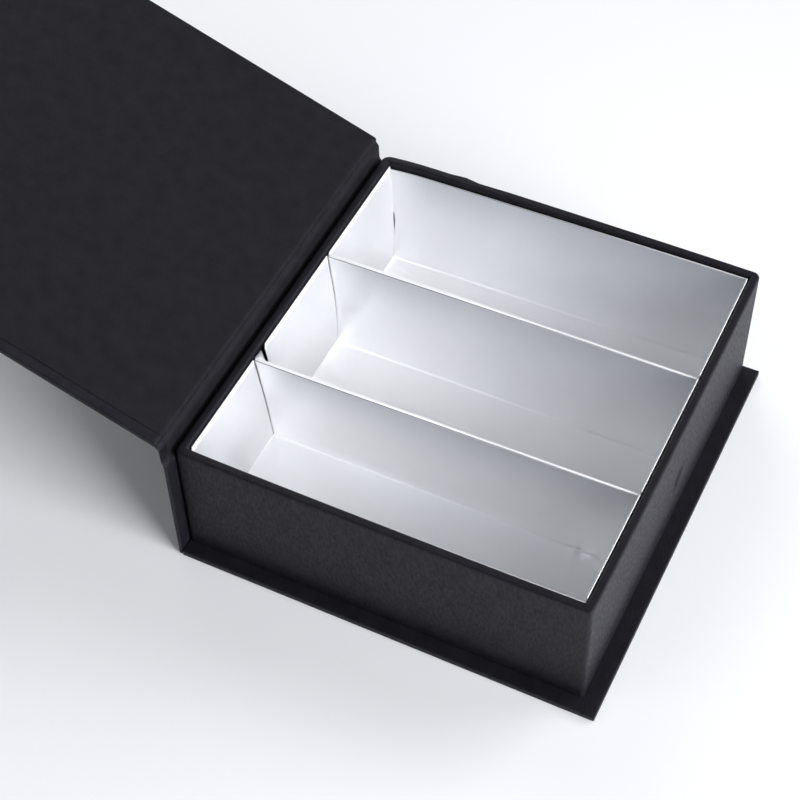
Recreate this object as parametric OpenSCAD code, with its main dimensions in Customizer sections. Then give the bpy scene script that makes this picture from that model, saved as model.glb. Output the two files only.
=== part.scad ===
// Book-style rigid gift box with a magnetic front flap and a silver card insert.
// Millimetres, +Z up. The origin is the centre of the underside of the case.
// +X runs from the spine to the front, +Y from the near side to the far side.
// The model is drawn with the lid folded back, as the box stands open.

/* [Tray] */
// Outside length of the tray, from the spine to its front wall
tray_l = 120; // [90:1:200]
// Outside width of the tray, along the spine
tray_w = 127.6; // [100:0.2:220]
// Height of the tray above the base
tray_h = 41; // [34:0.5:70]
// Thickness of the greyboard of the tray
tray_board_t = 2; // [1.7:0.1:3]

/* [Case] */
// Thickness of the greyboard in the base, spine, lid and flap
case_board_t = 1.5; // [1.2:0.1:2.5]
// How far the base reaches past the front wall of the tray
overhang_front = 4.9; // [4:0.1:8]
// How far the case reaches past the near wall of the tray
overhang_near = 4; // [1:0.1:8]
// How far the case reaches past the far wall of the tray
overhang_far = 0.4; // [0:0.1:8]
// How far the spine board stops below the rim of the tray
spine_drop = 0.6; // [0.2:0.1:3]

/* [Paper] */
// Thickness of the black wrapping paper
wrap_t = 0.25; // [0.15:0.05:0.4]
// Thickness of the black lining paper
lining_t = 0.2; // [0.1:0.05:0.4]
// Width of the wrap turned in over the inner faces of the case
turn_in = 15; // [8:1:18]
// Inset of the lining sheet from the edges of the case
lining_inset = 3; // [1:0.5:6]
// Depth of the wrap turned in over the rim of the tray
rim_turn_in = 20; // [10:1:28]
// Width of the wrap turned in under the foot of the tray
foot_turn_in = 12; // [6:1:20]

/* [Corner tapes] */
// Thickness of the paper tape that joins the tray walls
tape_t = 0.12; // [0.08:0.01:0.14]
// Width of each leg of a corner tape
tape_leg = 10; // [6:1:16]
// Distance of a corner tape from the rim and from the foot
tape_margin = 2; // [1:0.5:5]

/* [Lid] */
// Angle of the open lid above level
lid_rise = 19.6; // [5:0.1:60]
// Gap between the rim and the lining of the closed lid
lid_seat = 0.2; // [0.1:0.1:1]
// Height of the hinge line above the outer face of the closed lid
hinge_rise = 0.7; // [0.4:0.1:1.5]
// Distance from the hinge line to the edge of the lid board
lid_gutter = 2.2; // [1.8:0.1:4]

/* [Flap] */
// Gap between the tray and the lining of the closed flap
flap_seat = 0.3; // [0.1:0.1:1]
// Gap between the base and the lower edge of the closed flap
flap_foot = 0.5; // [0.4:0.1:2]
// Distance from the fold line to the edge of the flap board
flap_gutter = 1; // [0.5:0.1:2]
// Gap between the end of the lid and the folded flap
corner_gap = 0.3; // [0.2:0.1:1]

/* [Magnets] */
// Diameter of the two disc magnets
magnet_d = 10; // [8:0.5:12]
// Thickness of a disc magnet
magnet_t = 1.5; // [1:0.1:1.5]
// Depth of the magnet centres below the rim of the tray
magnet_drop = 25.4; // [18:0.2:26]
// Distance of the magnets from the middle of the tray, towards the far side
magnet_shift = 5; // [-20:0.5:20]
// Gap around a magnet in its pocket
magnet_gap = 0.1; // [0.05:0.05:0.2]

/* [Insert] */
// Thickness of the silver card
card_t = 0.4; // [0.3:0.05:0.6]
// Gap between the card and the tray walls
card_gap = 0.3; // [0.1:0.1:1]
// How far the card stops below the rim of the tray
card_drop = 1.2; // [0.5:0.1:4]
// Place of the foot of the near divider, from the near side of the tray
near_ridge_foot = 43; // [30:0.5:50]
// Place of the top of the near divider
near_ridge_top = 39.6; // [30:0.2:50]
// Place of the foot of the far divider, from the near side of the tray
far_ridge_foot = 83.4; // [70:0.2:90]
// Place of the top of the far divider
far_ridge_top = 83.6; // [70:0.2:90]
// Spread of the two layers of a divider at its foot
ridge_spread = 1.4; // [0.8:0.1:3]
// Gap between the two layers of a divider at its top
crest_gap = 0.2; // [0.1:0.05:0.6]
// How far the foot of a card wall stands in from its top
wall_lean = 1.2; // [0:0.1:3]
// Slit between an end flap and the card beside it
end_slit = 0.5; // [0.2:0.1:1]

/* [Hidden] */
$fn = 96;
eps = 0.01;

// Thickness of a wrapped panel, and of one that is lined as well
panel_t = case_board_t + 2 * wrap_t;
lined_t = panel_t + lining_t;
// Width of every panel of the case
case_w = tray_w + overhang_near + overhang_far;
base_l = tray_l + overhang_front;
// Thickness of a tray wall with its wrap, and height of the tray floor
wall_t = tray_board_t + 2 * wrap_t;
floor_z = tray_board_t + wrap_t;

// Near lower corner of the tray in the part's own frame
tray_x = panel_t - (panel_t + base_l) / 2;
tray_y = overhang_near - case_w / 2;
tray_z = panel_t;

// Spine: height of its panel, from the underside of the case
spine_top = tray_h - spine_drop;
spine_h = spine_top + panel_t;

// Hinge line of the lid, in the tray's frame
hinge_x = -panel_t;
hinge_z = tray_h + lid_seat + lined_t + hinge_rise;
lid_open = 180 - lid_rise;

// Fold line of the flap, as a distance from the hinge line
flap_at = tray_l + flap_seat + lined_t - hinge_x;
lid_l = flap_at - lined_t - corner_gap - lid_gutter;
flap_end = hinge_z - hinge_rise - flap_foot;
flap_l = flap_end - flap_gutter;

// Magnets: height in the tray, place along the spine, place along the flap
magnet_z = tray_h - magnet_drop;
magnet_y = tray_w / 2 + magnet_shift;
magnet_u = hinge_z - hinge_rise - magnet_z;

// Paper in the gutters: the wrap and the lining pasted together
gutter_t = wrap_t + lining_t;
// Bend of the lid's gutter paper, from upright to the slope of the lid
bend_turn = 90 - lid_rise;
bend_end_x = hinge_x - lid_gutter * cos(lid_rise) + hinge_rise * sin(lid_rise);
bend_end_z = hinge_z + lid_gutter * sin(lid_rise) + hinge_rise * cos(lid_rise);
bend_r = (-panel_t - bend_end_x) / (1 - cos(bend_turn));
bend_start_z = bend_end_z - bend_r * sin(bend_turn);
bend_steps = 12;

// Card insert: limits of its walls, and the height of its top edges
card_x0 = wall_t + card_gap;
card_x1 = tray_l - wall_t - card_gap;
card_y0 = wall_t + card_gap;
card_y1 = tray_w - wall_t - card_gap;
card_top = tray_h - card_drop;
card_floor = floor_z + card_t / 2;

// Colours of the papers, boards, card and metal
black_paper = [0.16, 0.16, 0.18];
black_lining = [0.13, 0.13, 0.15];
grey_board = [0.52, 0.49, 0.45];
brown_tape = [0.62, 0.48, 0.33];
silver_card = [0.82, 0.83, 0.86];
nickel = [0.75, 0.74, 0.72];

// FRAMES

// The tray's near lower corner, at the top face of the base
module in_tray() {
    translate([tray_x, tray_y, tray_z]) children();
}

// Along the lid: x runs out from the hinge line, z from 0 to minus the inner face
module in_lid() {
    in_tray() translate([hinge_x, 0, hinge_z]) rotate([0, -lid_open, 0]) children();
}

// Along the flap: x runs out from the fold line, z is 0 at the outer face
module in_flap() {
    in_lid() translate([flap_at, 0, -hinge_rise]) children();
}

// Places a panel so that its outer face is up and its inner face down
module face_down() {
    translate([0, -overhang_near, 0]) mirror([0, 0, 1]) children();
}

// Places a panel upright with its inner face against the tray
module upright() {
    translate([-panel_t, -overhang_near, -panel_t]) rotate([0, -90, 0]) mirror([0, 0, 1]) children();
}

// PANELS OF THE CASE
// A panel lies on its outer face and runs along x. The start and end edges are
// wrapped or left open: 1 for a wrapped edge, 0 for one that goes on into a gutter.

module panel_board(l, start, end) {
    translate([start * wrap_t, wrap_t, wrap_t])
        cube([l - (start + end) * wrap_t, case_w - 2 * wrap_t, case_board_t]);
}

// The part of the inner face that no turned-in paper covers
module panel_window(l, start, end, inset, z0, z1) {
    reach = turn_in + inset;
    x0 = start * reach - (1 - start) * eps;
    x1 = l - end * reach + (1 - end) * eps;
    translate([x0, reach, z0]) cube([x1 - x0, case_w - 2 * reach, z1 - z0]);
}

module panel_wrap(l, start, end) {
    difference() {
        cube([l, case_w, panel_t]);
        translate([(start - 1) * eps, 0, 0])
            panel_board(l + (2 - start - end) * eps, start, end);
        panel_window(l, start, end, 0, panel_t - wrap_t, panel_t + eps);
    }
}

// A sheet that lies on the turned-in paper and steps down to the board inside it
module panel_lining(l, end) {
    low = panel_t - wrap_t;
    difference() {
        union() {
            translate([0, lining_inset, panel_t])
                cube([l - end * lining_inset, case_w - 2 * lining_inset, lining_t]);
            intersection() {
                panel_window(l, 0, end, 0, low, panel_t + eps);
                translate([0, 0, low]) cube([l, case_w, lined_t]);
            }
        }
        panel_window(l, 0, end, lining_t, low + lining_t, lined_t + eps);
    }
}

// CASE

module base_board() {
    color(grey_board) in_tray() translate([0, -overhang_near, -panel_t]) panel_board(base_l, 0, 1);
}

module base_wrap() {
    color(black_paper) in_tray() translate([0, -overhang_near, -panel_t]) panel_wrap(base_l, 0, 1);
}

module spine_board() {
    color(grey_board) in_tray() upright() panel_board(spine_h, 1, 0);
}

module spine_wrap() {
    color(black_paper) in_tray() upright() panel_wrap(spine_h, 1, 0);
}

// Strip of lining pasted between the turned-in edges of the spine
module spine_lining() {
    color(black_lining) in_tray() upright()
        translate([turn_in, turn_in, panel_t - wrap_t])
            cube([spine_h - turn_in, case_w - 2 * turn_in, wrap_t]);
}

module lid_board() {
    color(grey_board) in_lid() translate([lid_gutter, 0, -hinge_rise]) face_down()
        panel_board(lid_l, 0, 0);
}

module lid_wrap() {
    color(black_paper) in_lid() translate([lid_gutter, 0, -hinge_rise]) face_down()
        panel_wrap(lid_l, 0, 0);
}

module lid_lining() {
    color(black_lining) in_lid() translate([lid_gutter, 0, -hinge_rise]) face_down()
        panel_lining(lid_l, 0);
}

// Disc centre on the flap, in the flap panel's own frame
module at_flap_magnet() {
    translate([magnet_u - flap_gutter, magnet_y + overhang_near, wrap_t]) children();
}

module flap_board() {
    color(grey_board) in_flap() translate([flap_gutter, 0, 0]) face_down()
        difference() {
            panel_board(flap_l, 0, 1);
            at_flap_magnet() translate([0, 0, -eps])
                cylinder(h = case_board_t + 2 * eps, d = magnet_d + 2 * magnet_gap);
        }
}

module flap_wrap() {
    color(black_paper) in_flap() translate([flap_gutter, 0, 0]) face_down()
        panel_wrap(flap_l, 0, 1);
}

module flap_lining() {
    color(black_lining) in_flap() translate([flap_gutter, 0, 0]) face_down()
        panel_lining(flap_l, 1);
}

module flap_magnet() {
    inner_skin = case_board_t - magnet_t;
    color(nickel) in_flap() translate([flap_gutter, 0, 0]) face_down()
        at_flap_magnet() translate([0, 0, inner_skin]) cylinder(h = magnet_t, d = magnet_d);
}

// GUTTER PAPERS

// Points on the bend of the lid's gutter paper, at a radius and an angle
function bend_point(r, a) = [-panel_t - bend_r + r * cos(a), bend_start_z + r * sin(a)];

// The paper stands up from the spine and bends over into the slope of the lid
module lid_hinge() {
    outer = [for (i = [0:bend_steps]) bend_point(bend_r, bend_turn * i / bend_steps)];
    inner = [for (i = [bend_steps:-1:0]) bend_point(bend_r + gutter_t, bend_turn * i / bend_steps)];
    foot = [[-panel_t + gutter_t, spine_top], [-panel_t, spine_top]];
    color(black_paper) in_tray() translate([0, case_w - overhang_near, 0]) rotate([90, 0, 0])
        linear_extrude(case_w) polygon(concat(outer, inner, foot));
}

// Flat strip between the end of the lid and the start of the flap
module flap_hinge() {
    back = lined_t + corner_gap;
    color(black_paper) in_flap() translate([-back, 0, 0]) face_down()
        cube([back + flap_gutter, case_w, gutter_t]);
}

// TRAY

module tray_board() {
    side = tray_board_t + wrap_t;
    color(grey_board) in_tray() difference() {
        translate([wrap_t, wrap_t, wrap_t])
            cube([tray_l - 2 * wrap_t, tray_w - 2 * wrap_t, tray_h - 2 * wrap_t]);
        translate([side, side, floor_z]) cube([tray_l - 2 * side, tray_w - 2 * side, tray_h]);
        translate([tray_l - wrap_t - magnet_t, magnet_y, magnet_z]) rotate([0, 90, 0])
            cylinder(h = magnet_t + 1, d = magnet_d + 2 * magnet_gap);
    }
}

// A four-sided tube with upright sides, between two distances from the tray's outside
module ring(out, in, z0, z1) {
    translate([0, 0, z0]) difference() {
        translate([out, out, 0]) cube([tray_l - 2 * out, tray_w - 2 * out, z1 - z0]);
        translate([in, in, -eps]) cube([tray_l - 2 * in, tray_w - 2 * in, z1 - z0 + 2 * eps]);
    }
}

module tray_wrap() {
    color(black_paper) in_tray() difference() {
        union() {
            ring(0, wrap_t, 0, tray_h);
            ring(0, foot_turn_in, 0, wrap_t);
            ring(0, wall_t, tray_h - wrap_t, tray_h);
            ring(wall_t - wrap_t, wall_t, tray_h - rim_turn_in, tray_h);
        }
        for (corner = [0:3]) corner_strip(corner);
    }
}

// An L-shaped strip outside one corner of the tray board
module corner_strip(corner) {
    far = corner > 1 ? 1 : 0;
    front = corner % 2;
    edge = wrap_t - tape_t;
    translate([front * tray_l, far * tray_w, tape_margin])
        mirror([front, 0, 0]) mirror([0, far, 0]) translate([edge, edge, 0]) difference() {
            cube([tape_leg, tape_leg, tray_h - 2 * tape_margin]);
            translate([tape_t, tape_t, -eps]) cube([tape_leg, tape_leg, tray_h]);
        }
}

module corner_tape(corner) {
    color(brown_tape) in_tray() corner_strip(corner);
}

module tray_magnet() {
    color(nickel) in_tray() translate([tray_l - wrap_t - magnet_t, magnet_y, magnet_z])
        rotate([0, 90, 0]) cylinder(h = magnet_t, d = magnet_d);
}

// CARD INSERT

// Unit normal of the stretch from point i to the next one
function side(pts, i) = let (run = pts[i + 1] - pts[i]) [-run[1], run[0]] / norm(run);

// A point of the path moved sideways, mitred where the path turns
function beside(pts, i, d) =
    let (last = len(pts) - 1)
    let (before = side(pts, max(i - 1, 0)), after = side(pts, min(i, last - 1)))
    let (middle = (before + after) / norm(before + after))
    pts[i] + middle * d / (middle * before);

// Outline of a sheet of card that follows a path
function sheet_outline(pts) = concat(
    [for (i = [0:len(pts) - 1]) beside(pts, i, card_t / 2)],
    [for (i = [len(pts) - 1:-1:0]) beside(pts, i, -card_t / 2)]
);

// Section across the compartments: one sheet, near wall to far wall
function insert_path() =
    let (top = card_top - card_t / 2, spread = ridge_spread / 2, crest = (card_t + crest_gap) / 2)
    [
        [card_y0 + card_t / 2, card_top],
        [card_y0 + card_t / 2 + wall_lean, card_floor],
        [near_ridge_foot - spread, card_floor],
        [near_ridge_top - crest, top],
        [near_ridge_top + crest, top],
        [near_ridge_foot + spread, card_floor],
        [far_ridge_foot - spread, card_floor],
        [far_ridge_top - crest, top],
        [far_ridge_top + crest, top],
        [far_ridge_foot + spread, card_floor],
        [card_y1 - card_t / 2 - wall_lean, card_floor],
        [card_y1 - card_t / 2, card_top]
    ];

// An end flap folded up from the floor: foot from y0 to y1, top from y2 to y3
module end_flap(y0, y1, y2, y3) {
    foot_x = card_x0 + card_t / 2 + wall_lean;
    rise = card_top - card_floor;
    lean = atan(wall_lean / rise);
    height = rise / cos(lean) - card_t / 2;
    translate([foot_x, 0, card_floor]) rotate([0, -lean, 0]) translate([-card_t / 2, 0, 0])
        rotate([90, 0, 90]) linear_extrude(card_t)
            polygon([[y0, 0], [y1, 0], [y3, height], [y2, height]]);
}

// The end flaps of the three compartments, at the spine end
module end_flaps() {
    step = ridge_spread / 2 + card_t / 2 + end_slit;
    near_foot = card_y0 + card_t + wall_lean + end_slit;
    near_top = card_y0 + card_t + end_slit;
    far_foot = card_y1 - card_t - wall_lean - end_slit;
    far_top = card_y1 - card_t - end_slit;
    top_step = card_t + end_slit;
    end_flap(near_foot, near_ridge_foot - step, near_top, near_ridge_top - top_step);
    end_flap(near_ridge_foot + step, far_ridge_foot - step,
             near_ridge_top + top_step, far_ridge_top - top_step);
    end_flap(far_ridge_foot + step, far_foot, far_ridge_top + top_step, far_top);
}

module card_insert() {
    fold_x = card_t / 2 + wall_lean;
    color(silver_card) in_tray() union() {
        translate([card_x0 + fold_x, 0, 0]) rotate([90, 0, 90])
            linear_extrude(card_x1 - card_x0 - 2 * fold_x) polygon(sheet_outline(insert_path()));
        end_flaps();
        translate([tray_l, 0, 0]) mirror([1, 0, 0]) end_flaps();
    }
}

base_board();
base_wrap();
spine_board();
spine_wrap();
spine_lining();
tray_board();
tray_wrap();
corner_tape(0);  // corner_tape_1
corner_tape(1);  // corner_tape_2
corner_tape(2);  // corner_tape_3
corner_tape(3);  // corner_tape_4
tray_magnet();
card_insert();
lid_hinge();
lid_board();
lid_wrap();
lid_lining();
flap_hinge();
flap_board();
flap_wrap();
flap_lining();
flap_magnet();
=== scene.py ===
"""Looks of the magnetic gift box: black paper case, wrapped tray and silver card insert."""
import math

import bpy
from mathutils import Matrix, Vector, noise


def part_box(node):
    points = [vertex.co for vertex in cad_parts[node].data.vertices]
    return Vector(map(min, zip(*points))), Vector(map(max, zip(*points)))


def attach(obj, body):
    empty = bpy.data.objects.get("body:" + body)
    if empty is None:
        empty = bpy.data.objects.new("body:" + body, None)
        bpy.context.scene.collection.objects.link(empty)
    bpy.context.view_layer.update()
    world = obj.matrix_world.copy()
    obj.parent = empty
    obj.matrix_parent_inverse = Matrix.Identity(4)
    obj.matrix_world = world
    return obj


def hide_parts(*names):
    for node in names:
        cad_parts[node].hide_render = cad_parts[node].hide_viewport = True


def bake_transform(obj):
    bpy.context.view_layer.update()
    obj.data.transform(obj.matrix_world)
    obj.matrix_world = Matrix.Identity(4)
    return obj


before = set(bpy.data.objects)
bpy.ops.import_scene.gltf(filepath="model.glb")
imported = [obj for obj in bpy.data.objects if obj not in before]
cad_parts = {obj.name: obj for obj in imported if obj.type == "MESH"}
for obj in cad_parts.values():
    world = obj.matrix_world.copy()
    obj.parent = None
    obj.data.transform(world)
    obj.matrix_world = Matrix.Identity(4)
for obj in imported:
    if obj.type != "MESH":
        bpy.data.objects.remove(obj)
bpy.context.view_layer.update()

MM = 0.001


# PLACES TAKEN FROM THE FRAME, IN MILLIMETRES
# All shapes are drawn in the tray's frame: its near lower corner beside the spine.

def node_box(node):
    low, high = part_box(node)
    return low / MM, high / MM


tray_low, tray_high = node_box("tray_wrap")
base_low, base_high = node_box("base_wrap")
insert_low, insert_high = node_box("card_insert")
ORIGIN = Vector(tray_low)

TRAY_L, TRAY_W, TRAY_H = tray_high - tray_low
BASE_X1 = base_high.x - ORIGIN.x
CASE_Y0 = base_low.y - ORIGIN.y
CASE_Y1 = base_high.y - ORIGIN.y
PANEL_T = base_high.z - base_low.z
CARD_X0, CARD_Y0 = insert_low.x - ORIGIN.x, insert_low.y - ORIGIN.y
CARD_X1, CARD_Y1 = insert_high.x - ORIGIN.x, insert_high.y - ORIGIN.y
CARD_TOP = insert_high.z - ORIGIN.z

WRAP_T = 0.25
LINING_T = 0.2
GUTTER_T = WRAP_T + LINING_T
BOARD_EDGE_R = 0.5

# Lid: hinge line, slope of the open lid, and heights of its faces off the hinge line
HINGE = Vector((-PANEL_T, 44.1))
LID_RISE = math.radians(19.6)
LID_OUTER = 0.7
LID_INNER = LID_OUTER + PANEL_T
SEAM_AT = 122.9
FLAP_END = 167.4

# How the real case differs from the CAD: the far edges of lid and flap are short, the spine's
# outside lies further in and the base's near edge further out
LID_SHY = 1.4
SPINE_OUT = 1.6
BASE_PROUD = 0.2
LID_Y1 = CASE_Y1 - LID_SHY
LINING_INSET = 3.0
LINING_Y0, LINING_Y1 = CASE_Y0 + LINING_INSET, LID_Y1 - 0.6
LINING_EDGE_R = 0.09


def lid_point(u, h):
    """Place in the section, x and z, at a distance along the lid and a height off its hinge."""
    c, s = math.cos(LID_RISE), math.sin(LID_RISE)
    return Vector((HINGE.x - u * c + h * s, HINGE.y + u * s + h * c))


def row(x, y, z):
    """A point of the tray's frame in the row's frame, in metres."""
    return (ORIGIN + Vector((x, y, z))) * MM


# MESHES

def make_object(name, points, faces, material, slot, sharp=40.0):
    """A smooth-shaded piece from points in the tray's frame; edges above an angle stay sharp."""
    mesh = bpy.data.meshes.new(name)
    mesh.from_pydata([row(*p) for p in points], [], faces)
    mesh.validate()
    for polygon in mesh.polygons:
        polygon.use_smooth = True
    mesh.set_sharp_from_angle(angle=math.radians(sharp))
    mesh.materials.append(material)
    obj = bpy.data.objects.new(name, mesh)
    bpy.context.scene.collection.objects.link(obj)
    return obj


def loft(loops, closed=False, cap_start=True, cap_end=True):
    """Points and faces of a skin through closed loops that have the same count of points."""
    count = len(loops[0])
    points = [p for loop in loops for p in loop]
    faces = []
    last = len(loops) if closed else len(loops) - 1
    for i in range(last):
        a, b = i * count, (i + 1) % len(loops) * count
        for j in range(count):
            k = (j + 1) % count
            faces.append((a + j, a + k, b + k, b + j))
    if not closed and cap_start:
        faces.append(tuple(range(count - 1, -1, -1)))
    if not closed and cap_end:
        faces.append(tuple((len(loops) - 1) * count + j for j in range(count)))
    return points, faces


def spread(a, b, count, margin=0.6):
    """Values from a to b with one close to each end, so that edges stay crisp."""
    step = math.copysign(margin, b - a)
    inner = [a + (b - a) * i / count for i in range(1, count)]
    inner = [v for v in inner if abs(v - a) > 2 * margin and abs(v - b) > 2 * margin]
    return [a, a + step] + inner + [b - step, b]


# Steps of the quarter circles that round the edges of boards
ARC = 4


def section_loop(outer, inner, y0, y1, radius, across):
    """Rounded rectangle between an outer and an inner point of the section, from y0 to y1."""
    thick = (inner - outer).length
    toward = (inner - outer) / thick
    r = min(radius, thick * 0.48)
    ys = spread(y0 + r, y1 - r, across)
    loop = [(outer, y) for y in ys]
    for i in range(1, ARC):
        a = math.pi / 2 * i / ARC
        loop.append((outer + toward * r * (1 - math.cos(a)), y1 - r + r * math.sin(a)))
    loop += [(outer + toward * r, y1), (inner - toward * r, y1)]
    for i in range(1, ARC):
        a = math.pi / 2 * i / ARC
        loop.append((inner - toward * r * (1 - math.sin(a)), y1 - r + r * math.cos(a)))
    loop += [(inner, y) for y in reversed(ys)]
    for i in range(1, ARC):
        a = math.pi / 2 * i / ARC
        loop.append((inner - toward * r * (1 - math.cos(a)), y0 + r - r * math.sin(a)))
    loop += [(inner - toward * r, y0), (outer + toward * r, y0)]
    for i in range(1, ARC):
        a = math.pi / 2 * i / ARC
        loop.append((outer + toward * r * (1 - math.sin(a)), y0 + r - r * math.cos(a)))
    return [(p.x, y, p.y) for p, y in loop]


def rounded_end(station, along, radius, growing):
    """Stations that round off the end of a plate. along points out of the end."""
    outer, inner = station
    thick = (inner - outer).length
    toward = (inner - outer) / thick
    r = min(radius, thick * 0.48)
    found = []
    for i in range(ARC + 1):
        a = math.pi / 2 * i / ARC
        back = along * r * (math.sin(a) - 1)
        inset = r * (1 - math.cos(a))
        found.append((outer + back + toward * inset, inner + back - toward * inset, inset))
    return found if growing else found[::-1]


def plate(name, stations, y0, y1, material, slot, start=None, end=None,
          radius=BOARD_EDGE_R, across=24):
    """A sheet or panel that follows stations of outer and inner points. start and end are
    directions out of a rounded end, or None for a plain cut."""
    rows = [(o, i, 0.0) for o, i in stations]
    if start is not None:
        rows = rounded_end(stations[0], start, radius, False) + rows[1:]
    if end is not None:
        rows = rows[:-1] + rounded_end(stations[-1], end, radius, True)
    loops = [section_loop(o, i, y0 + inset, y1 - inset, max(radius - inset, 0.02), across)
             for o, i, inset in rows]
    return make_object(name, *loft(loops), material, slot)


# MATERIALS

def new_material(name):
    material = bpy.data.materials.new(name)
    material.use_nodes = True
    tree = material.node_tree
    return material, tree, tree.nodes["Principled BSDF"]


def add_noise(tree, coords, scale, detail=3.0, stretch=None):
    vector = coords
    if stretch is not None:
        mapping = tree.nodes.new("ShaderNodeMapping")
        mapping.inputs["Scale"].default_value = stretch
        tree.links.new(coords, mapping.inputs["Vector"])
        vector = mapping.outputs["Vector"]
    node = tree.nodes.new("ShaderNodeTexNoise")
    node.inputs["Scale"].default_value = scale
    node.inputs["Detail"].default_value = detail
    tree.links.new(vector, node.inputs["Vector"])
    return node.outputs["Fac"]


def add_range(tree, value, low, high, to_low, to_high):
    node = tree.nodes.new("ShaderNodeMapRange")
    tree.links.new(value, node.inputs["Value"])
    ends = {"From Min": low, "From Max": high, "To Min": to_low, "To Max": to_high}
    for key, number in ends.items():
        node.inputs[key].default_value = number
    return node.outputs["Result"]


def add_math(tree, operation, first, second):
    node = tree.nodes.new("ShaderNodeMath")
    node.operation = operation
    tree.links.new(first, node.inputs[0])
    tree.links.new(second, node.inputs[1])
    return node.outputs["Value"]


def add_product(tree, first, *others):
    for other in others:
        first = add_math(tree, "MULTIPLY", first, other)
    return first


def add_parts(tree, vector):
    """The X, Y and Z outputs of a vector."""
    node = tree.nodes.new("ShaderNodeSeparateXYZ")
    tree.links.new(vector, node.inputs["Vector"])
    return node.outputs


def add_mix(tree, factor, dark, light):
    node = tree.nodes.new("ShaderNodeMix")
    node.data_type = "RGBA"
    tree.links.new(factor, node.inputs["Factor"])
    node.inputs["A"].default_value = (*dark, 1)
    node.inputs["B"].default_value = (*light, 1)
    return node.outputs["Result"]


def blend_colour(tree, factor, colour, other):
    """Mixes a colour of the tree with a plain one."""
    mixed = add_mix(tree, factor, (0, 0, 0), other)
    tree.links.new(colour, mixed.node.inputs["A"])
    return mixed


def add_bump(tree, heights, shader):
    """Chains bumps given as (height, distance in metres, strength)."""
    normal = None
    for height, distance, strength in heights:
        node = tree.nodes.new("ShaderNodeBump")
        node.inputs["Strength"].default_value = strength
        node.inputs["Distance"].default_value = distance
        tree.links.new(height, node.inputs["Height"])
        if normal is not None:
            tree.links.new(normal, node.inputs["Normal"])
        normal = node.outputs["Normal"]
    tree.links.new(normal, shader.inputs["Normal"])


def object_coords(tree):
    return tree.nodes.new("ShaderNodeTexCoord").outputs["Object"]


def paper(name, dark, light, roughness, specular, fibre):
    """Uncoated dyed paper with a fine felt of fibres."""
    material, tree, shader = new_material(name)
    coords = object_coords(tree)
    cloud = add_noise(tree, coords, 220.0, 4.0)
    grain = add_noise(tree, coords, 2600.0, 2.0)
    strands = add_noise(tree, coords, 1500.0, 3.0, (1.0, 1.0, 0.35))
    tone = add_range(tree, cloud, 0.3, 0.7, 0.0, 1.0)
    tree.links.new(add_mix(tree, tone, dark, light), shader.inputs["Base Color"])
    tree.links.new(add_range(tree, strands, 0.3, 0.7, roughness - 0.12, roughness + 0.12),
                   shader.inputs["Roughness"])
    shader.inputs["Specular IOR Level"].default_value = specular
    shader.inputs["Specular Tint"].default_value = (0.88, 0.86, 1.0, 1)
    add_bump(tree, [(cloud, 0.0003 * fibre, 0.35), (strands, 0.00016 * fibre, 0.7),
                    (grain, 0.00006 * fibre, 0.6)], shader)
    return material


SILVER_METALLIC = 0.8
SILVER_DARK, SILVER_LIGHT = (0.90, 0.905, 0.925), (0.92, 0.925, 0.945)
# painted light and painted shade of the silver card: lighter by the spine, darker at the tops of
# the long walls and on the end flaps, light fold lines as painted highlights, dark lines beside the
# ridges as painted shade
SILVER_PAINTED_LIGHT = (0.975, 0.98, 0.99)
SILVER_PAINTED_SHADE = (0.62, 0.635, 0.68)
SILVER_FLAP_SHADE = (0.80, 0.80, 0.81)
FOLD_HIGHLIGHT = (0.94, 0.945, 0.96)
SLIT_SHADE = (0.12, 0.12, 0.14)


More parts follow.
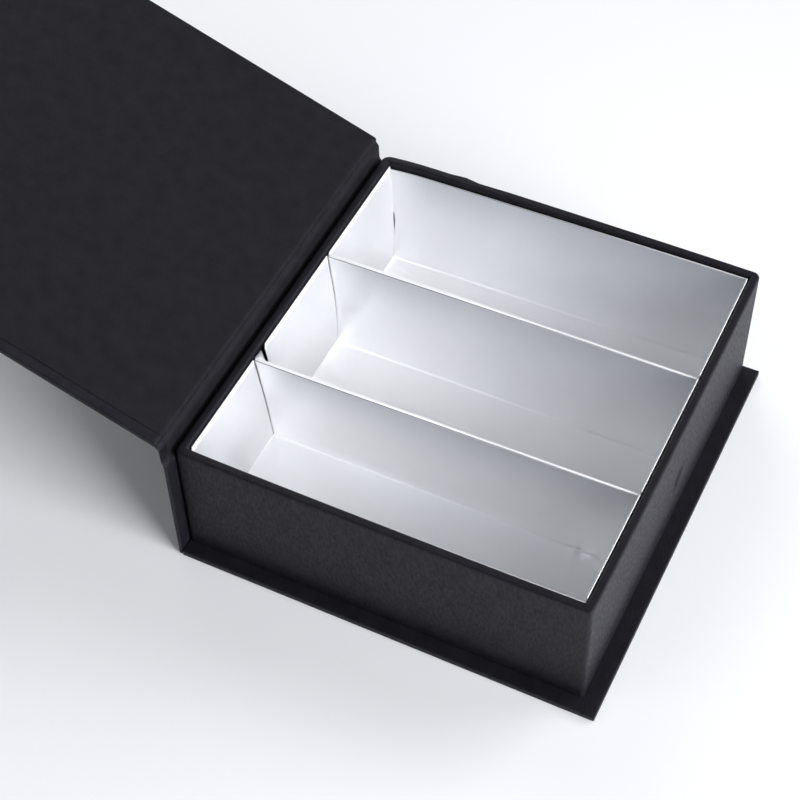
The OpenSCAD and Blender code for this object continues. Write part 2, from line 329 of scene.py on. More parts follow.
def silver(name):
    """Satin metallised card: a soft metallic film over paper with a faint orange peel.
    The tones that vary over the card are set to the photo's, and hold painted light and painted
    shade.
    Heights and places along the box are in metres of the row's frame."""
    material, tree, shader = new_material(name)
    coords = object_coords(tree)
    peel = add_noise(tree, coords, 900.0, 2.0)
    cloud = add_noise(tree, coords, 90.0, 3.0)
    place = add_parts(tree, coords)
    facing = add_parts(tree, tree.nodes.new("ShaderNodeNewGeometry").outputs["Normal"])
    at_top = add_range(tree, place["Z"], 0.040, 0.041, 0.0, 1.0)
    colour = add_mix(tree, add_range(tree, cloud, 0.35, 0.65, 0.0, 1.0), SILVER_DARK, SILVER_LIGHT)

    # painted light by the spine and painted shade towards the tops of the long walls, as in the
    # photo
    spine_painted_light = add_range(tree, place["X"], -0.052, 0.0, 1.0, 0.0)
    colour = blend_colour(tree, spine_painted_light, colour, SILVER_PAINTED_LIGHT)
    # painted shade: the long walls darken towards their tops, away from the end flaps
    high = add_range(tree, place["Z"], 0.020, 0.0425, 0.0, 1.0)
    off_flap = add_range(tree, place["X"], -0.0575, -0.046, 0.0, 0.75)
    upright = add_range(tree, facing["Z"], 0.25, 0.6, 1.0, 0.0)
    top_painted_shade = add_product(tree, high, high, off_flap, upright)
    colour = blend_colour(tree, top_painted_shade, colour, SILVER_PAINTED_SHADE)

    # painted shade on the end flaps by the spine, which face the lamps and would be lighter than in
    # the photo
    flap = add_range(tree, facing["X"], 0.6, 0.9, 0.0, 1.0)
    colour = blend_colour(tree, flap, colour, SILVER_FLAP_SHADE)

    # painted highlight: light lines along the folds and on the crests
    tilted = add_range(tree, facing["Z"], 0.2, 0.45, 0.0, 1.0)
    off_floor = add_range(tree, facing["Z"], 0.94, 0.985, 1.0, 0.0)
    fold = add_product(tree, tilted, add_math(tree, "MAXIMUM", off_floor, at_top))
    colour = blend_colour(tree, fold, colour, FOLD_HIGHLIGHT)

    # painted shade: a dark line beside the ridges, on their near side, that stands for the shaded
    # slit seen there
    near_side = add_range(tree, facing["Y"], -0.5, -0.25, 1.0, 0.0)
    parted = add_range(tree, place["X"], -0.02, 0.04, 0.9, 0.15)
    slit_shade = add_product(tree, tilted, at_top, near_side, parted)
    colour = blend_colour(tree, slit_shade, colour, SLIT_SHADE)

    tree.links.new(colour, shader.inputs["Base Color"])
    tree.links.new(add_range(tree, fold, 0.0, 1.0, SILVER_METALLIC, 0.1), shader.inputs["Metallic"])
    tree.links.new(add_range(tree, cloud, 0.3, 0.7, 0.28, 0.36), shader.inputs["Roughness"])
    add_bump(tree, [(peel, 0.00004, 0.4)], shader)
    return material


def board_material(name, dark, light):
    """Raw board or card with fine flecks."""
    material, tree, shader = new_material(name)
    coords = object_coords(tree)
    flecks = add_noise(tree, coords, 1400.0, 4.0)
    tree.links.new(add_mix(tree, add_range(tree, flecks, 0.35, 0.65, 0.0, 1.0), dark, light),
                   shader.inputs["Base Color"])
    shader.inputs["Roughness"].default_value = 0.85
    add_bump(tree, [(flecks, 0.0001, 0.4)], shader)
    return material


def metal_material(name):
    """Plated magnet with faint scratches."""
    material, tree, shader = new_material(name)
    coords = object_coords(tree)
    scratches = add_noise(tree, coords, 900.0, 2.0, (1.0, 1.0, 12.0))
    shader.inputs["Metallic"].default_value = 1.0
    shader.inputs["Base Color"].default_value = (0.70, 0.69, 0.66, 1)
    tree.links.new(add_range(tree, scratches, 0.3, 0.7, 0.22, 0.36), shader.inputs["Roughness"])
    return material


WRAP = paper("wrap_paper_look", (0.0056, 0.0054, 0.0078), (0.0096, 0.0092, 0.0126),
             roughness=0.52, specular=0.20, fibre=1.0)
LINING = paper("lining_paper_look", (0.0070, 0.0067, 0.0086), (0.0104, 0.0100, 0.0126),
               roughness=0.62, specular=0.14, fibre=0.8)
SILVER = silver("silver_card_look")
BOARD = board_material("greyboard_look", (0.20, 0.18, 0.155), (0.29, 0.265, 0.235))
CORE = board_material("card_core_look", (0.58, 0.58, 0.59), (0.66, 0.66, 0.67))
TAPE = board_material("tape_paper_look", (0.33, 0.20, 0.10), (0.40, 0.26, 0.14))
NICKEL = metal_material("magnet_look")


# CASE

def lowered(pairs, drop):
    """Outer and inner points as vectors, with the inner ones moved towards the outer ones."""
    found = []
    for outer, inner in pairs:
        outer, inner = Vector(outer), Vector(inner)
        found.append((outer, inner + (outer - inner).normalized() * drop))
    return found


def lid_pairs(places):
    """Outer points on the lid's outside at distances u, inner ones at distances v, heights h."""
    return [(lid_point(u, LID_OUTER), lid_point(v, h)) for u, v, h in places]


PANEL_TOP = LID_INNER + LINING_T
GUTTER_TOP = LID_OUTER + GUTTER_T


def case_stations(top_drop):
    """Outer and inner points from the foot of the spine, over the gutter and along the lid.
    top_drop is how far the inner face stays under the lining."""
    inner_x, thin_x = -0.15, -PANEL_T + GUTTER_T
    # the spine
    pairs = [((-SPINE_OUT, z), (inner_x, z))
             for z in (-2.0, -1.0, 2.0, 10.0, 20.0, 30.0, 35.0, 37.3)]
    # from the top of the spine's board through the gutter, where the two papers lie together
    pairs += [
        ((-SPINE_OUT - 0.05, 38.0), (inner_x - 0.08, 38.0)),
        ((-SPINE_OUT - 0.1, 38.4), (inner_x - 0.35, 38.5)),
        ((-SPINE_OUT - 0.13, 38.7), (inner_x - 0.8, 38.8)),
        ((-SPINE_OUT - 0.2, 39.2), (thin_x + 0.15, 39.2)),
        ((-SPINE_OUT - 0.3, 40.2), (thin_x, 40.3)),
        ((-PANEL_T, 42.0), (thin_x, 42.0)),
        ((-PANEL_T, 43.4), (thin_x - 0.02, 43.5)),
        ((-PANEL_T - 0.03, 44.0), (thin_x - 0.1, 44.3)),
        ((-PANEL_T - 0.2, 44.55), (thin_x - 0.4, 44.85)),
        ((-PANEL_T - 0.6, 44.95), (thin_x - 0.8, 45.25)),
    ]
    # up the edge of the lid's board
    pairs += lid_pairs((
        (1.0, 0.9, 1.1), (1.15, 1.1, 1.3), (1.25, 1.2, 1.8), (1.4, 1.3, 2.3), (1.6, 1.5, 2.65),
        (1.9, 1.85, 2.85), (2.3, 2.3, PANEL_TOP), (3.0, 3.0, PANEL_TOP), (6.0, 6.0, PANEL_TOP),
    ))
    # along the lid and down to the flap's gutter
    pairs += lid_pairs((u, u, PANEL_TOP) for u in (9, 15, 30, 50, 70, 90, 105, 115, 119.5, 120.7))
    pairs += lid_pairs(((121.4, 121.4, PANEL_TOP - 0.12), (121.9, 121.9, 2.2), (122.3, 122.3, 1.4),
                        (SEAM_AT, SEAM_AT, GUTTER_TOP)))
    return lowered(pairs, top_drop)


def flap_stations(top_drop, end):
    """Outer and inner points from the seam in the gutter along the flap."""
    places = [(u, u, GUTTER_TOP) for u in (SEAM_AT, 123.3, 123.7, 124.1, 124.5, 124.9)]
    places += [(125.3, 125.3, 1.5), (125.7, 125.7, 2.2), (126.1, 126.1, PANEL_TOP - 0.12)]
    places += [(u, u, PANEL_TOP) for u in (126.8, 130, 140, 150, 160, end)]
    return lowered(lid_pairs(places), top_drop)


def lining_stations(stations):
    return [(inner - (inner - outer).normalized() * LINING_T, inner) for outer, inner in stations]


ALONG_LID = (lid_point(1, 0) - lid_point(0, 0)).normalized()


def make_case():
    base = [(Vector((x, -PANEL_T)), Vector((x, 0.0)))
            for x in (0.02, 1.0, 20.0, 40.0, 60.0, 80.0, 100.0, BASE_X1 - 1.2, BASE_X1)]
    piece = plate("base_cover", base, CASE_Y0 - BASE_PROUD, CASE_Y1, WRAP, "wrap_paper",
                  end=Vector((1, 0)), radius=0.3)
    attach(piece, "box")
    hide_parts("base_wrap")

    piece = plate("lid_cover", case_stations(LINING_T), CASE_Y0, LID_Y1, WRAP, "wrap_paper",
                  start=Vector((0, -1)))
    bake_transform(piece)
    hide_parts("spine_wrap", "lid_wrap", "lid_hinge")

    # the lining starts above the foot of the spine
    piece = plate("lid_liner", lining_stations(case_stations(0))[7:], LINING_Y0, LINING_Y1,
                  LINING, "lining_paper", radius=LINING_EDGE_R)
    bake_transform(piece)
    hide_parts("lid_lining", "spine_lining")

    piece = plate("flap_cover", flap_stations(LINING_T, FLAP_END), CASE_Y0, LID_Y1, WRAP,
                  "wrap_paper", end=ALONG_LID)
    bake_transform(piece)
    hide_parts("flap_wrap", "flap_hinge")

    piece = plate("flap_liner", lining_stations(flap_stations(0, FLAP_END - LINING_INSET)),
                  LINING_Y0, LINING_Y1, LINING, "lining_paper", radius=LINING_EDGE_R)
    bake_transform(piece)
    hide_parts("flap_lining")
    make_case_boards()


def make_case_boards():
    """Greyboards, a little short of the soft edges of the paper over them."""
    low, high = LID_OUTER + WRAP_T, LID_INNER - WRAP_T - 0.02
    spine = [(Vector((-SPINE_OUT + WRAP_T, z)), Vector((-0.62, z)))
             for z in (-1.7, 10.0, 25.0, 38.2)]
    lid = [(lid_point(u, low), lid_point(u, high)) for u in (3.9, 40.0, 80.0, 120.6)]
    flap = [(lid_point(u, low), lid_point(u, high))
            for u in (126.9, 140.0, 155.0, FLAP_END - WRAP_T)]
    boards = (("spine", spine, Vector((0, 1)), "box"), ("lid", lid, ALONG_LID, "lid"),
              ("flap", flap, ALONG_LID, "flap"))
    for name, stations, end, body in boards:
        piece = plate(f"{name}_core", stations, CASE_Y0 + WRAP_T, LID_Y1 - WRAP_T, BOARD,
                      "greyboard", start=-end, end=end, radius=0.25, across=8)
        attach(piece, body)
        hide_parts(f"{name}_board")


# TRAY

# Radii of the tray's upright corners: near spine, near front, far front, far spine
CORNER_R = (1.2, 1.2, 2.0, 2.6)
CORNER_STEPS = 6
TRAY_WALL = 2.5
FOOT_R, RIM_R = 0.3, 0.6
MAGNET_Y, MAGNET_Z, MAGNET_MARK_R = 68.8, 15.6, 5.1
# Mesh kept fine round the magnet's mark, in y and z
MARK_ROWS = (61.0, 76.5, 0.5)
MARK_LEVELS = [8.5 + 0.5 * i for i in range(29)]
NEAR_BOW, FAR_BOW, FRONT_BOW = 0.4, 0.3, 0.3
FAR_CORNER_DIP = 0.7


def smooth_bell(distance, width):
    return math.exp(-(distance / width) ** 2)


def quarter(steps):
    """Angles of a quarter turn."""
    return [math.pi / 2 * i / steps for i in range(steps + 1)]


def side_values(a, b, dense=None):
    """Values along one side of the tray, closer together in a dense stretch."""
    values = spread(a, b, 24)
    if dense is not None:
        low, high, step = dense
        count = round((high - low) / step)
        values = [v for v in values if v < low or v > high]
        values += [low + step * i for i in range(count + 1)]
    return sorted(values, reverse=b < a)


def ring_loop(out, z):
    """Rounded rectangle of the tray at a distance inside its outside faces."""
    x0, x1, y0, y1 = out, TRAY_L - out, out, TRAY_W - out
    r = [max(corner - out, 0.3) for corner in CORNER_R]
    # the sides are cut at the same places in every loop, whatever its corners are
    cut = CORNER_R
    corners = [(x0, y0, 180, r[0]), (x1, y0, 270, r[1]), (x1, y1, 0, r[2]), (x0, y1, 90, r[3])]
    sides = [
        [(x, y0) for x in side_values(cut[0], TRAY_L - cut[1])],
        [(x1, y) for y in side_values(cut[1], TRAY_W - cut[2], MARK_ROWS)],
        [(x, y1) for x in side_values(TRAY_L - cut[2], cut[3])],
        [(x0, y) for y in side_values(TRAY_W - cut[3], cut[0])],
    ]
    loop = []
    for (cx, cy, turn, radius), side in zip(corners, sides):
        mx = cx + radius * (1 if cx == x0 else -1)
        my = cy + radius * (1 if cy == y0 else -1)
        for a in quarter(CORNER_STEPS):
            a += math.radians(turn)
            loop.append((mx + radius * math.cos(a), my + radius * math.sin(a), z))
        along_x, along_y = side[0][1] == side[-1][1], side[0][0] == side[-1][0]
        for x, y in side[1:-1]:
            # the ends of a side are kept off the corners of the inner loops
            loop.append((min(max(x, x0 + radius), x1 - radius) if along_x else x,
                         min(max(y, y0 + radius), y1 - radius) if along_y else y, z))
    return loop


def hump(share):
    return max(0.0, 1 - abs(2 * share - 1) ** 3)


def bowed(x, y, z):
    """The tray's walls bow outwards towards their rims, and the insert goes with them."""
    lift = min(max(z / TRAY_H, 0.0), 1.0)
    fx, fy = min(max(x / TRAY_L, 0.0), 1.0), min(max(y / TRAY_W, 0.0), 1.0)
    far, near = max(0.0, 2 * fy - 1), max(0.0, 1 - 2 * fy)
    across = FAR_BOW * far - NEAR_BOW * near
    dip = FAR_CORNER_DIP * smooth_bell(x, 7.0) * far
    return x + FRONT_BOW * fx * fx * hump(fy) * lift, y + (across * hump(fx) - dip) * lift, z


def worn(point):
    """Small marks of the real tray: the magnet under the paper, a bump in the rim, soft walls."""
    x, y, z = point
    if x > TRAY_L - 0.01:
        dy, dz = y - MAGNET_Y, z - MAGNET_Z
        rho = math.hypot(dy, dz)
        ring = smooth_bell(rho - MAGNET_MARK_R, 0.55)
        lean = 0.5 + 0.5 * math.cos(math.atan2(dz, dy) - math.radians(150))
        x += 0.6 * ring * lean ** 2 + 0.05 * (1 if rho < MAGNET_MARK_R else 0)
    rim = max(0.0, (z - TRAY_H + 6) / 6)
    if y > TRAY_W - 0.7:
        y += 0.55 * smooth_bell(x - 27.4, 1.8) * rim
        y -= 0.3 * smooth_bell(x - 33.0, 4.0) * rim
    return bowed(x, y, z)


def make_tray():
    """Wrapping paper of the tray, over the board and down the inside, closed by a hidden back."""
    # distances inside the outside faces, and heights
    profile = [(12.0, 0.0), (4.0, 0.0), (FOOT_R + 0.4, 0.0)]
    profile += [(FOOT_R - FOOT_R * math.sin(a), FOOT_R - FOOT_R * math.cos(a)) for a in quarter(4)]
    profile += [(0.0, z) for z in (0.9, 3.0, 6.0, *MARK_LEVELS, 26.0, 31.0, 36.0, 39.0)]
    profile.append((0.0, TRAY_H - RIM_R))
    profile += [(RIM_R - RIM_R * math.cos(a), TRAY_H - RIM_R + RIM_R * math.sin(a))
                for a in quarter(4)[1:]]
    profile += [(1.05, TRAY_H), (1.45, TRAY_H)]
    profile += [(TRAY_WALL - RIM_R + RIM_R * math.sin(a), TRAY_H - RIM_R + RIM_R * math.cos(a))
                for a in quarter(4)]
    profile += [(TRAY_WALL, 39.0), (TRAY_WALL, 30.0), (TRAY_WALL, 21.0)]
    under_rim = TRAY_H - WRAP_T - 0.1
    back = [(TRAY_WALL - WRAP_T, 21.0), (TRAY_WALL - WRAP_T, under_rim), (WRAP_T, under_rim),
            (WRAP_T, WRAP_T), (12.0, WRAP_T)]
    loops = [[worn(p) for p in ring_loop(out, z)] for out, z in profile]
    loops += [[bowed(*p) for p in ring_loop(out, z)] for out, z in back]
    piece = make_object("tray_paper", *loft(loops, closed=True), WRAP, "wrap_paper")
    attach(piece, "box")
    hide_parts("tray_wrap")

    edge, side = WRAP_T + 0.02, 2.23
    core = [(side + 0.5, 2.25), (side, 2.25), (side, 20.0), (side, TRAY_H - 0.4),
            (edge, TRAY_H - 0.4), (edge, 20.0), (edge, edge), (4.0, edge)]
    points, faces = loft([[bowed(*p) for p in ring_loop(out, z)] for out, z in core])
    piece = make_object("tray_core", points, faces, BOARD, "greyboard")
    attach(piece, "box")
    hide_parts("tray_board")
    for corner in range(4):
        make_tape(corner)


TAPE_T, TAPE_LEG, TAPE_MARGIN = 0.12, 10.0, 2.0


def make_tape(corner):
    """Paper tape round one corner of the tray's board, under the wrapping paper."""
    far, front = corner > 1, corner % 2 == 1

    def line(out):
        r = CORNER_R[{(0, 0): 0, (1, 0): 1, (1, 1): 2, (0, 1): 3}[(front, far)]] - out
        arc = [(out + r - r * math.sin(a), out + r - r * math.cos(a))
               for a in quarter(CORNER_STEPS)]
        return [(TAPE_LEG, out)] + arc + [(out, TAPE_LEG)]

    outline = line(WRAP_T - TAPE_T) + line(WRAP_T)[::-1]
    outline = [(TRAY_L - x if front else x, TRAY_W - y if far else y) for x, y in outline]
    if front == far:
        outline.reverse()
    loops = [[(x, y, z) for x, y in outline] for z in (TAPE_MARGIN, TRAY_H - TAPE_MARGIN)]
    piece = make_object(f"corner_tape_look_{corner + 1}", *loft(loops), TAPE, "tape_paper")
    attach(piece, "box")
    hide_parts(f"corner_tape_{corner + 1}")


# INSERT

CARD_T = 0.3
FLOOR_Z = 2.45
STEP_X = 1.0
# Points along each panel of the path: walls and floors are cut finely, crests are not
PANEL_CUTS = (26, 30, 26, 1, 1, 26, 30, 26, 1, 1, 26, 30, 26)
FLOOR_PANELS = (1, 6, 11)
FALLING_PANELS, RISING_PANELS = (0, 5, 10), (2, 7, 12)
FOLD_R = 0.9
FOLD_TURNS = (40, 27, 13, 0)


def card_path(share):
    """Section of the card, y and z, at a share of the way from the spine to the front.
    It has a wall, a floor and a wall in each compartment and two crest panels on each ridge."""
    def between(a, b):
        return a + (b - a) * share
    near_top = between(38.9, 40.0)
    far_top = between(83.4, 83.7)
    crest = between(0.3, 0.2)
    top = CARD_TOP - CARD_T / 2
    # the two layers of a ridge part at the spine end and close towards the front
    open_share = max(0.0, 1 - share / 0.7)
    near_high, far_high = between(top - 0.1, top), between(top - 0.3, top)
    return [
        (CARD_Y0 + 0.2, between(39.6, 39.9)),
        (CARD_Y0 + 1.4, FLOOR_Z),
        (42.2, FLOOR_Z),
        (near_top - crest, near_high - 0.4 * open_share),
        (near_top - 0.1, near_high - 1.0 * open_share),
        (near_top + crest, near_high),
        (43.7, FLOOR_Z),
        (82.7, FLOOR_Z),
        (far_top - crest, far_high - 0.4 * open_share),
        (far_top - 0.1, far_high - 1.0 * open_share),
        (far_top + crest, far_high),
        (84.1, FLOOR_Z),
        (between(122.3, 123.4), FLOOR_Z),
        (CARD_Y1 - 0.25, between(38.5, 40.2)),
    ]


def fold_points(length):
    """Shares and lifts that round a panel into its fold at the floor."""
    turns = [math.radians(turn) for turn in FOLD_TURNS]
    return [(FOLD_R * (1 - math.sin(a)) / length, FOLD_R * (1 - math.cos(a))) for a in turns]


def panel_shares(panel, count, length):
    """Shares of the way along a panel, each with the lift of the rounded fold there."""
    if count == 1:
        return [(0.0, 0.0)]
    crest = [(e, 0.0) for e in (0.0, 0.008, 0.02, 0.04)]
    fold = fold_points(length)
    start = crest if panel in FALLING_PANELS else fold
    # a wall that ends in a crest leaves its last point to the next panel
    end = crest[1:] if panel in RISING_PANELS else fold
    middle = [(i / count, 0.0) for i in range(1, count) if 0.06 < i / count < 0.94]
    return start + middle + [(1 - s, lift) for s, lift in reversed(end)]


def bulge(panel, s, x):
    """Height of the soft bow of a panel, in mm, along its own normal."""
    across = math.sin(math.pi * s)
    share = (x - CARD_X0) / (CARD_X1 - CARD_X0)
    along = math.sin(math.pi * min(max(share, 0.0), 1.0)) ** 0.7
    wave = noise.noise(Vector((x * 0.018, panel * 7.3, s * 1.1)))
    amount = 0.25 if panel in FLOOR_PANELS else 0.45
    return across * (amount * along + 0.35 * wave)


def crease(panel, s, x, length):
    """Small beads and wrinkles beside the folds of the card, in mm."""
    from_start, from_end = s * length, (1 - s) * length
    if panel in FLOOR_PANELS:
        bead = 0.12 * smooth_bell(from_end - 1.6, 1.0)
    else:
        bead = 0.10 * smooth_bell(from_start - 1.3, 0.8) + 0.10 * smooth_bell(from_end - 1.3, 0.8)
    bead *= 0.7 + 0.5 * noise.noise(Vector((x * 0.09, panel * 3.1, 0.0)))
    wrinkle = 0.0
    if panel in (1, 2):
        # crushed stretch of the near compartment's fold, towards the front
        side = from_end if panel == 1 else from_start
        crush = noise.noise(Vector((x * 0.55, side * 0.5, 3.7)))
        wrinkle = smooth_bell(x - 101, 11.0) * smooth_bell(side, 2.2) * crush
    return bead + 0.35 * wrinkle


def card_points(x, share):
    """Points of the card's middle surface across the compartments, with the start of each panel."""
    path = card_path(share)
    points, starts = [], []
    for panel, count in enumerate(PANEL_CUTS):
        a, b = Vector(path[panel]), Vector(path[panel + 1])
        run = b - a
        side = Vector((-run.y, run.x)).normalized()
        starts.append(len(points))
        for s, lift in panel_shares(panel, count, run.length):
            if count > 1:
                lift += bulge(panel, s, x) + crease(panel, s, x, run.length)
            points.append(a + run * s + side * lift)
    points.append(Vector(path[-1]))
    return points, starts


FLAP_GAP = 0.32
EDGE_STANDOFF = 0.12
CORNER_BEND = 4.2
CORNER_SLIT = 1.0
# Heights at which the end flaps are cut, as shares
FLAP_LEVELS = [0.006, 0.014, 0.03, 0.06] + [0.1 + 0.9 * i / 16 for i in range(17)]


def flap_gap(end, panel, t):
    """Gaps beside the two upright edges of an end flap, at a share of its height."""
    low, high = FLAP_GAP, FLAP_GAP + 0.25 * t
    if end == 0 and panel == 11:
        # open slit in the lower half of the corner, closed above it
        high = 0.02 + 0.45 * smooth_bell(t - 0.40, 0.16) if t < 0.52 else 0.02
    if panel == 1:
        low += 0.8 * max(0.0, (t - 0.93) / 0.07) ** 2
    return low, high


def flap_bow(end, panel, s, t):
    """How far an end flap stands off its flat shape, into its compartment."""
    rise = math.sin(math.pi * t)
    bow = 0.45 * math.sin(math.pi * s) * rise
    if end == 0 and panel == 6:
        bow += 1.1 * s ** 3 * math.sin(math.pi * t ** 0.8)
        # the corner beside the near ridge is bent away from the wall
        beside = max(0.0, 1 - 38.0 * s / CORNER_BEND)
        bow += CORNER_BEND * beside * min(1.0, max(0.0, (t - 0.5) / 0.4))
    if end == 0 and panel == 11:
        bow += 0.7 * s ** 4 * math.sin(math.pi * t ** 0.7)
    if end == 0 and panel == 1:
        bow += 0.35 * s ** 3 * rise
    return bow + 0.12 * noise.noise(Vector((s * 3, t * 3, panel + 9.1 * end))) * rise


def wall_at(line, height):
    """How far across the box a wall of the card stands at a height."""
    rising = sorted(line, key=lambda p: p[2])
    for p, q in zip(rising, rising[1:]):
        if p[2] <= height <= q[2] and q[2] > p[2]:
            return p[1] + (q[1] - p[1]) * (height - p[2]) / (q[2] - p[2])
    return rising[-1][1] if height > rising[-1][2] else rising[0][1]


# How far the walls stop short of the card's ends, where the end flaps fold up
END_FOLD = CARD_T / 2 + 1.2
WALLS_X0, WALLS_X1 = CARD_X0 + END_FOLD, CARD_X1 - END_FOLD


def card_columns():
    """Places along the box at which the walls and floors are cut, closer at both ends."""
    count = round((WALLS_X1 - WALLS_X0) / STEP_X)
    xs = [WALLS_X0 + (WALLS_X1 - WALLS_X0) * i / count for i in range(count + 1)]
    return [xs[0], xs[0] + 0.25, xs[0] + 0.5] + xs[1:-1] + [xs[-1] - 0.5, xs[-1] - 0.25, xs[-1]]


def card_walls(points, faces):
    """Adds the folded walls and floors. Returns the count of points across and the first point
    of each panel, with the last point of all."""
    middle = (WALLS_X0 + WALLS_X1) / 2
    # the walls reach 1.2 mm further out at their tops, at both ends
    stretch = 1.2 / (WALLS_X1 - middle) / (CARD_TOP - FLOOR_Z)
    for i, x in enumerate(card_columns()):
        line, starts = card_points(x, (x - WALLS_X0) / (WALLS_X1 - WALLS_X0))
        across = len(line)
        for k, p in enumerate(line):
            gap = 0.0
            if k >= starts[12]:
                # the far wall stands open at its end by the spine
                level = (p.y - FLOOR_Z) / (CARD_TOP - FLOOR_Z)
                fade = max(0.0, 1 - (x - WALLS_X0) / 3)
                gap = CORNER_SLIT * smooth_bell(level - 0.42, 0.17) * fade
            points.append((x + gap + (x - middle) * stretch * (p.y - FLOOR_Z), p.x, p.y))
        if i:
            a, b = (i - 1) * across, i * across
            faces += [(a + j, b + j, b + j + 1, a + j + 1) for j in range(across - 1)]
    return across, starts + [across - 1]


def end_flap(points, faces, end, panel, first, starts):
    """Adds the flap that rises from a floor panel, at the spine (end 0) or at the front (end 1).
    first is the first point of the column of the walls that it joins."""
    a, b = first + starts[panel], first + starts[panel + 1]
    base = list(range(a + 1, b))
    foot = [points[k][1] for k in base]
    before = points[first + starts[panel - 1]:a + 1]
    after = points[b:first + starts[panel + 2] + 1]
    top = TRAY_H - 0.05 if end else CARD_TOP - 0.2
    below = base
    for t in FLAP_LEVELS:
        height = FLOOR_Z + (top - FLOOR_Z) * t
        low_gap, high_gap = flap_gap(end, panel, t)
        low_side = wall_at(before, height) + low_gap
        high_side = wall_at(after, height) - high_gap
        lean = END_FOLD - (END_FOLD - CARD_T / 2) * t + (EDGE_STANDOFF * t ** 4 if end else 0.0)
        level = []
        for y in foot:
            s = (y - foot[0]) / (foot[-1] - foot[0])
            x = CARD_X0 + lean + flap_bow(end, panel, s, t)
            level.append(len(points))
            points.append((TRAY_L - x if end else x, low_side + (high_side - low_side) * s, height))
        for j in range(len(level) - 1):
            quad = (below[j], below[j + 1], level[j + 1], level[j])
            faces.append(quad[::-1] if end else quad)
        below = level


def ridge_tab(points, faces):
    """Adds the small tab at the spine end of the near ridge."""
    tab = len(points)
    x, y = CARD_X0 + 0.15, card_path(0.0)[5][0]
    points += [(x, y, CARD_TOP - 0.3), (x + 3.4, y, CARD_TOP - 0.5),
               (x + 2.5, y + 1.0, CARD_TOP - 1.1), (x, y + 3.3, CARD_TOP - 0.7)]
    faces.append(tuple(range(tab, tab + 4)))


def make_insert():
    points, faces = [], []
    across, starts = card_walls(points, faces)
    last_column = len(points) - across
    for end, first in ((0, 0), (1, last_column)):
        for panel in FLOOR_PANELS:
            end_flap(points, faces, end, panel, first, starts)
    ridge_tab(points, faces)
    points = [bowed(*p) for p in points]
    piece = make_object("silver_insert", points, faces, SILVER, "silver_card", 180.0)
    thick = piece.modifiers.new("card thickness", "SOLIDIFY")
    thick.thickness = CARD_T * MM
    thick.offset = 0.0
    # the cut edges show the core of the card
    piece.data.materials.append(CORE)
    thick.material_offset_rim = 1
    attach(piece, "box")
    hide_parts("card_insert")


# CARRIED CAD NODES

def finish_cad_nodes():
    looks = {"base_board": BOARD, "tray_magnet": NICKEL, "flap_magnet": NICKEL}
    for name, material in looks.items():
        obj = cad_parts[name]
        for index in range(len(obj.material_slots)):
            obj.material_slots[index].material = material


# STAGE, LIGHT AND CAMERA

FADE_START, FADE_END = 0.16, 0.34
BACKGROUND_LEVEL = 0.93
WORLD_LEVEL = 0.03
STUDIO_TINT = (0.97, 0.98, 1.0, 1)


def floor_material():
    """Pale matt floor that fades into the white backdrop, for the camera, away from the object."""
    material, tree, shader = new_material("floor_look")
    shader.inputs["Base Color"].default_value = (0.86, 0.865, 0.885, 1)
    shader.inputs["Roughness"].default_value = 0.8
    shader.inputs["Specular IOR Level"].default_value = 0.2
    length = tree.nodes.new("ShaderNodeVectorMath")
    length.operation = "LENGTH"
    tree.links.new(object_coords(tree), length.inputs[0])
    fade = add_range(tree, length.outputs["Value"], FADE_START, FADE_END, 0.0, 1.0)
    path = tree.nodes.new("ShaderNodeLightPath")
    seen = add_product(tree, fade, path.outputs["Is Camera Ray"])
    glow = tree.nodes.new("ShaderNodeEmission")
    glow.inputs["Color"].default_value = STUDIO_TINT
    glow.inputs["Strength"].default_value = BACKGROUND_LEVEL
    mix = tree.nodes.new("ShaderNodeMixShader")
    tree.links.new(seen, mix.inputs["Fac"])
    tree.links.new(shader.outputs["BSDF"], mix.inputs[1])
    tree.links.new(glow.outputs["Emission"], mix.inputs[2])
    tree.links.new(mix.outputs["Shader"], tree.nodes["Material Output"].inputs["Surface"])
    return material


def make_floor():
    half = 20.0
    corners = [(-half, -half, 0), (half, -half, 0), (half, half, 0), (-half, half, 0)]
    mesh = bpy.data.meshes.new("floor")
    mesh.from_pydata(corners, [], [(0, 1, 2, 3)])
    mesh.materials.append(floor_material())
    floor = bpy.data.objects.new("floor", mesh)
    floor.location.z = -0.0002
    bpy.context.scene.collection.objects.link(floor)


LAMP_DISTANCE = 1.5
LAMP_SIZE = 0.9
LAMP_TINT = (0.965, 0.975, 1.0)
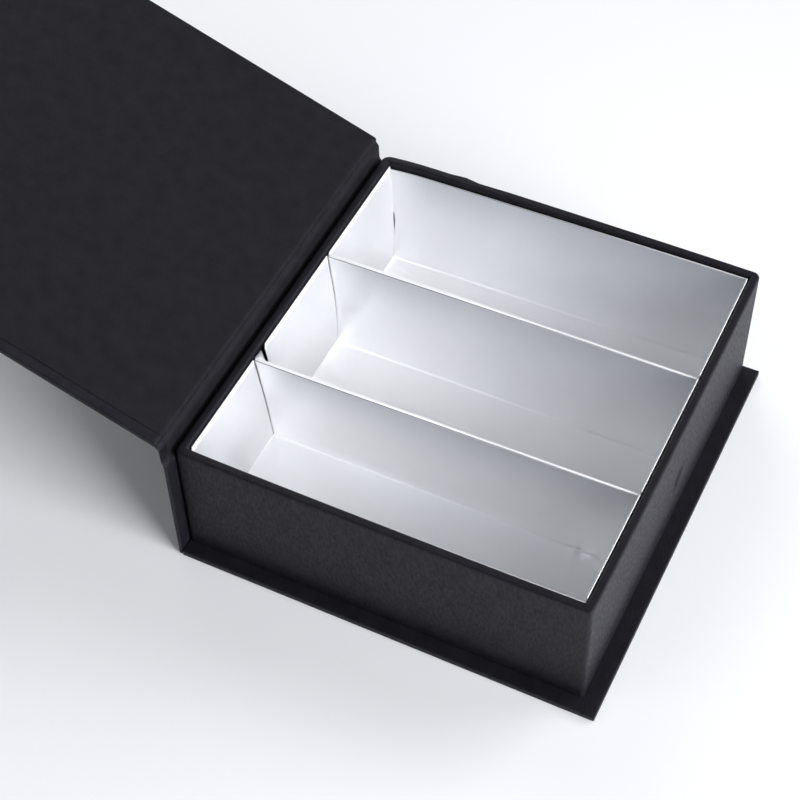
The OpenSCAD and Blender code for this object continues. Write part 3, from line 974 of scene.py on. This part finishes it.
# Soft boxes: azimuth from +X towards +Y and elevation in degrees, and power in watts
LAMPS = (
    ("key_low", 343, 18, 26.5),
    ("key_high", 344, 35, 14.5),
    ("far_right", 45, 35, 9.5),
    ("far_left", 135, 35, 8.5),
    ("spine_side", 225, 35, 2.0),
    ("near_high", 240, 60, 1.7),
)


def make_world():
    """Faint even light from all round, which the camera sees as a white backdrop."""
    world = bpy.data.worlds.new("studio")
    world.use_nodes = True
    tree = world.node_tree
    background = tree.nodes["Background"]
    background.inputs["Color"].default_value = STUDIO_TINT
    path = tree.nodes.new("ShaderNodeLightPath")
    level = add_range(tree, path.outputs["Is Camera Ray"], 0.0, 1.0, WORLD_LEVEL, BACKGROUND_LEVEL)
    tree.links.new(level, background.inputs["Strength"])
    bpy.context.scene.world = world


def make_light():
    make_world()
    for name, azimuth, elevation, power in LAMPS:
        a, e = math.radians(azimuth), math.radians(elevation)
        toward = Vector((math.cos(a) * math.cos(e), math.sin(a) * math.cos(e), math.sin(e)))
        data = bpy.data.lights.new(name, "AREA")
        data.shape = "SQUARE"
        data.size = LAMP_SIZE
        data.energy = power
        data.color = LAMP_TINT
        lamp = bpy.data.objects.new(name, data)
        lamp.location = LAMP_DISTANCE * toward
        lamp.rotation_mode = "QUATERNION"
        lamp.rotation_quaternion = (-toward).to_track_quat("-Z", "Y")
        bpy.context.scene.collection.objects.link(lamp)


def make_camera():
    data = bpy.data.cameras.new("camera")
    data.lens = 83.136
    data.sensor_width = 36
    data.clip_start, data.clip_end = 0.01, 20
    camera = bpy.data.objects.new("camera", data)
    bpy.context.scene.collection.objects.link(camera)
    right = (0.89863, 0.43831, -0.01879)
    up = (-0.32742, 0.69854, 0.63626)
    back = (0.29200, -0.56561, 0.77124)
    turn = Matrix((right, up, back)).transposed()
    camera.matrix_world = Matrix.Translation((0.13192, -0.30449, 0.43014)) @ turn.to_4x4()
    bpy.context.scene.camera = camera


make_camera()
make_case()
make_tray()
make_insert()
finish_cad_nodes()
make_floor()
make_light()
bpy.context.scene.view_settings.view_transform = "Standard"
